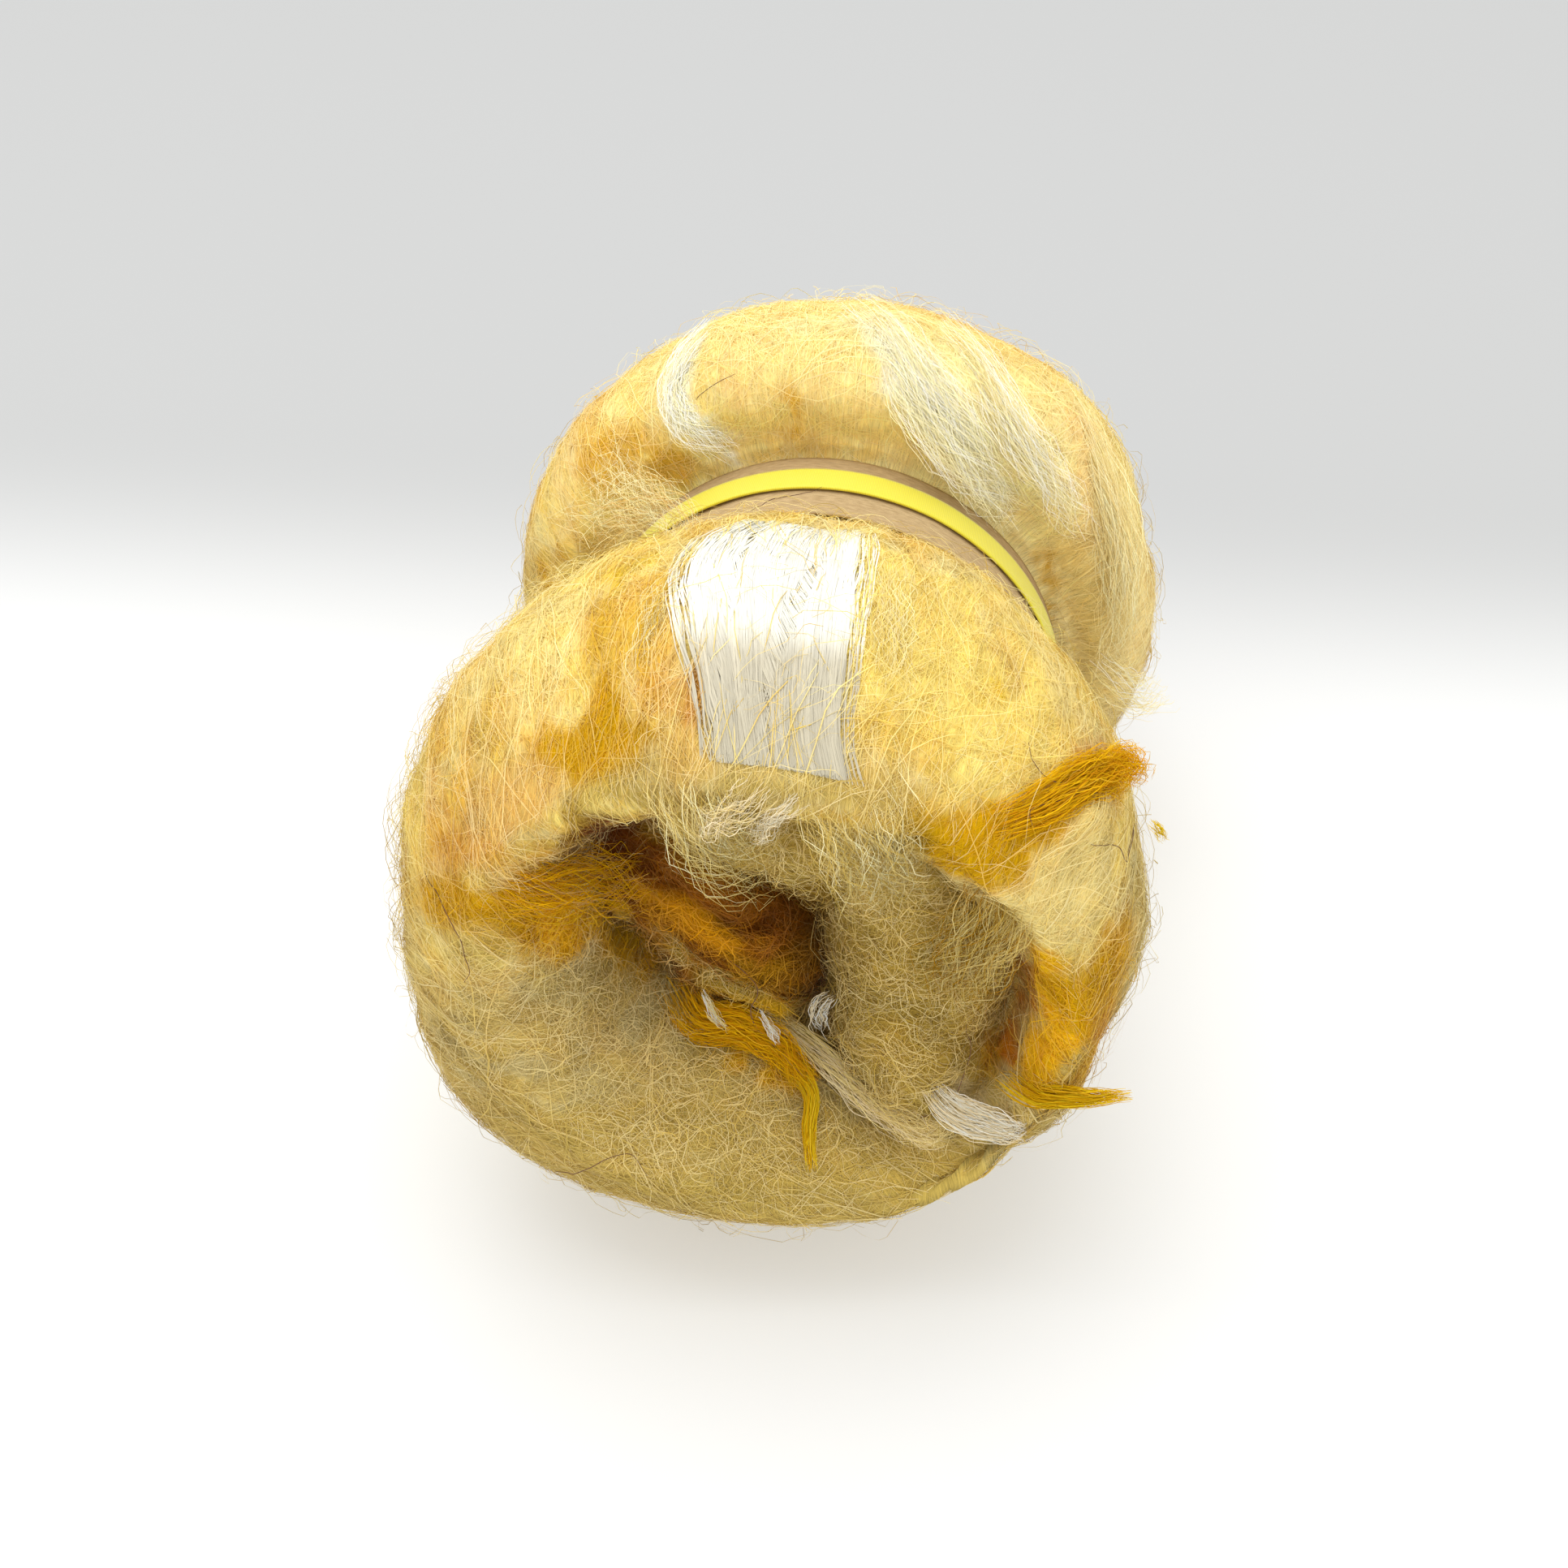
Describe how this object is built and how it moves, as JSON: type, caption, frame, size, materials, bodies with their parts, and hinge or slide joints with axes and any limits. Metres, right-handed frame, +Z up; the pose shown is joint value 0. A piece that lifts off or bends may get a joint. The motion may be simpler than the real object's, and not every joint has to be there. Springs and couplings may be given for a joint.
{
  "type": "fiber batt",
  "caption": "Rolled batt of carded wool and silk with soft folded ends, drawn in at the waist by a paper band and a ribbon.",
  "frame": {"origin": "bottom centre of the whole part's box, on the surface that it rests on", "axes": "+Y along the roll, away from the folded end that the picture shows; +Z up; +X to the right seen from that end"},
  "size_m": [0.113, 0.1776, 0.1081],
  "materials": {
    "carded_fibre": "matte, fuzzy, pale butter yellow with gold, orange and white streaks",
    "kraft_paper": "matte uncoated brown paper",
    "satin": "satin weave, lemon yellow"
  },
  "bodies": {
    "root": {"batt": "carded_fibre", "paper_band": "kraft_paper", "ribbon": "satin"}
  },
  "joints": []
}
